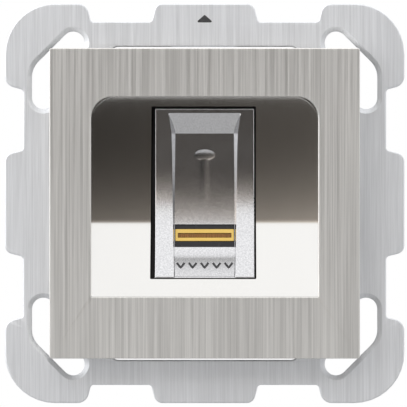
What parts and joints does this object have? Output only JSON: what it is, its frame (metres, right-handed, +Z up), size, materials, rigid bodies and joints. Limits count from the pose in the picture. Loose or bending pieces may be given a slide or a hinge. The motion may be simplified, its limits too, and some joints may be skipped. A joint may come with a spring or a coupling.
{
  "type": "flush-mounted fingerprint reader",
  "caption": "Flush-mounted fingerprint reader: notched steel mounting plate, brushed square cover, polished finger recess, swipe sensor and pluggable screw terminal.",
  "frame": {"origin": "centre of the mounting plate's wall-side face, in the plane of the wall", "axes": "+X right and +Z up as a user in front sees it; +Y into the wall, so the reader faces -Y"},
  "size_m": [0.077, 0.0438, 0.077],
  "materials": {
    "plate_steel": "finely brushed, bare",
    "cover_steel": "brushed vertically, warm grey",
    "scoop_steel": "polished with a very fine grain",
    "guide_metallised": "satin metallised plastic with a fine sparkle",
    "sensor_black": "gloss black",
    "sensor_gold": "gold plated",
    "sensor_silicon": "polished brown silicon",
    "black_rubber": "matt black elastomer",
    "black_plastic": "fine moulded texture",
    "chip_black": "matt moulding compound",
    "grey_plastic": "moulded",
    "green_plastic": "moulded",
    "circuit_board": "green solder mask",
    "amber_film": "amber polyimide film",
    "smoke_lens": "smoke grey, glossy",
    "tinned_copper": "bright tin plate",
    "zinc_steel": "bright zinc plate"
  },
  "bodies": {
    "wall_plate": {"mounting_plate": "plate_steel"},
    "reader_insert": {"cover_plate": "cover_steel", "recess_scoop": "scoop_steel", "cover_bonding_tape": "black_rubber", "carrier_frame": "black_plastic", "clip_top": "zinc_steel", "clip_bottom": "zinc_steel", "finger_guide": "guide_metallised", "scanner_gasket": "black_rubber", "guide_screw_left": "zinc_steel", "guide_screw_right": "zinc_steel", "sensor_window": "sensor_black", "sensor_gold_frame": "sensor_gold", "sensor_strip": "sensor_silicon", "sensor_flex": "amber_film", "sensor_board": "circuit_board", "status_led": "smoke_lens", "light_pipe": "smoke_lens", "module_housing": "black_plastic", "main_board": "circuit_board", "rear_cover": "black_plastic", "processor_chip": "chip_black", "memory_chip": "chip_black", "transceiver_chip": "chip_black", "crystal": "tinned_copper", "capacitor_1": "tinned_copper", "capacitor_2": "tinned_copper", "inductor": "grey_plastic", "buzzer": "chip_black", "board_connector": "grey_plastic", "board_flex": "amber_film", "terminal_header": "green_plastic", "clip_rivet_1": "zinc_steel", "housing_screw_1": "zinc_steel", "header_pin_1": "tinned_copper", "clip_rivet_2": "zinc_steel", "housing_screw_2": "zinc_steel", "header_pin_2": "tinned_copper", "clip_rivet_3": "zinc_steel", "housing_screw_3": "zinc_steel", "header_pin_3": "tinned_copper", "clip_rivet_4": "zinc_steel", "housing_screw_4": "zinc_steel", "header_pin_4": "tinned_copper"},
    "terminal_plug": {"plug_body": "green_plastic", "plug_contact_1": "tinned_copper", "plug_contact_2": "tinned_copper", "plug_contact_3": "tinned_copper", "plug_contact_4": "tinned_copper"},
    "clamp_screw_1": {"clamp_screw_1": "zinc_steel"},
    "clamp_screw_2": {"clamp_screw_2": "zinc_steel"},
    "clamp_screw_3": {"clamp_screw_3": "zinc_steel"},
    "clamp_screw_4": {"clamp_screw_4": "zinc_steel"},
    "wire_cage_1": {"wire_cage_1": "zinc_steel"},
    "wire_cage_2": {"wire_cage_2": "zinc_steel"},
    "wire_cage_3": {"wire_cage_3": "zinc_steel"},
    "wire_cage_4": {"wire_cage_4": "zinc_steel"}
  },
  "joints": [
    {"name": "insert_pull", "type": "slide", "parent": "wall_plate", "child": "reader_insert", "axis": [0, -1, 0], "range_m": [0, 0.04]},
    {"name": "plug_pull", "type": "slide", "parent": "reader_insert", "child": "terminal_plug", "axis": [0, 1, 0], "range_m": [0, 0.008]},
    {"name": "clamp_turn_1", "type": "hinge", "parent": "terminal_plug", "child": "clamp_screw_1", "pos_m": [-0.00571, 0.03, -0.008], "axis": [0, 1, 0], "range_deg": [0, 1080]},
    {"name": "cage_rise_1", "type": "slide", "parent": "terminal_plug", "child": "wire_cage_1", "axis": [0, 1, 0], "range_m": [0, 0.0012]},
    {"name": "clamp_turn_2", "type": "hinge", "parent": "terminal_plug", "child": "clamp_screw_2", "pos_m": [-0.00191, 0.03, -0.008], "axis": [0, 1, 0], "range_deg": [0, 1080]},
    {"name": "cage_rise_2", "type": "slide", "parent": "terminal_plug", "child": "wire_cage_2", "axis": [0, 1, 0], "range_m": [0, 0.0012]},
    {"name": "clamp_turn_3", "type": "hinge", "parent": "terminal_plug", "child": "clamp_screw_3", "pos_m": [0.00191, 0.03, -0.008], "axis": [0, 1, 0], "range_deg": [0, 1080]},
    {"name": "cage_rise_3", "type": "slide", "parent": "terminal_plug", "child": "wire_cage_3", "axis": [0, 1, 0], "range_m": [0, 0.0012]},
    {"name": "clamp_turn_4", "type": "hinge", "parent": "terminal_plug", "child": "clamp_screw_4", "pos_m": [0.00571, 0.03, -0.008], "axis": [0, 1, 0], "range_deg": [0, 1080]},
    {"name": "cage_rise_4", "type": "slide", "parent": "terminal_plug", "child": "wire_cage_4", "axis": [0, 1, 0], "range_m": [0, 0.0012]}
  ],
  "couplings": [
    {"joint": "clamp_turn_1", "follows": "cage_rise_1", "rad_per_m": 15708},
    {"joint": "clamp_turn_2", "follows": "cage_rise_2", "rad_per_m": 15708},
    {"joint": "clamp_turn_3", "follows": "cage_rise_3", "rad_per_m": 15708},
    {"joint": "clamp_turn_4", "follows": "cage_rise_4", "rad_per_m": 15708}
  ]
}
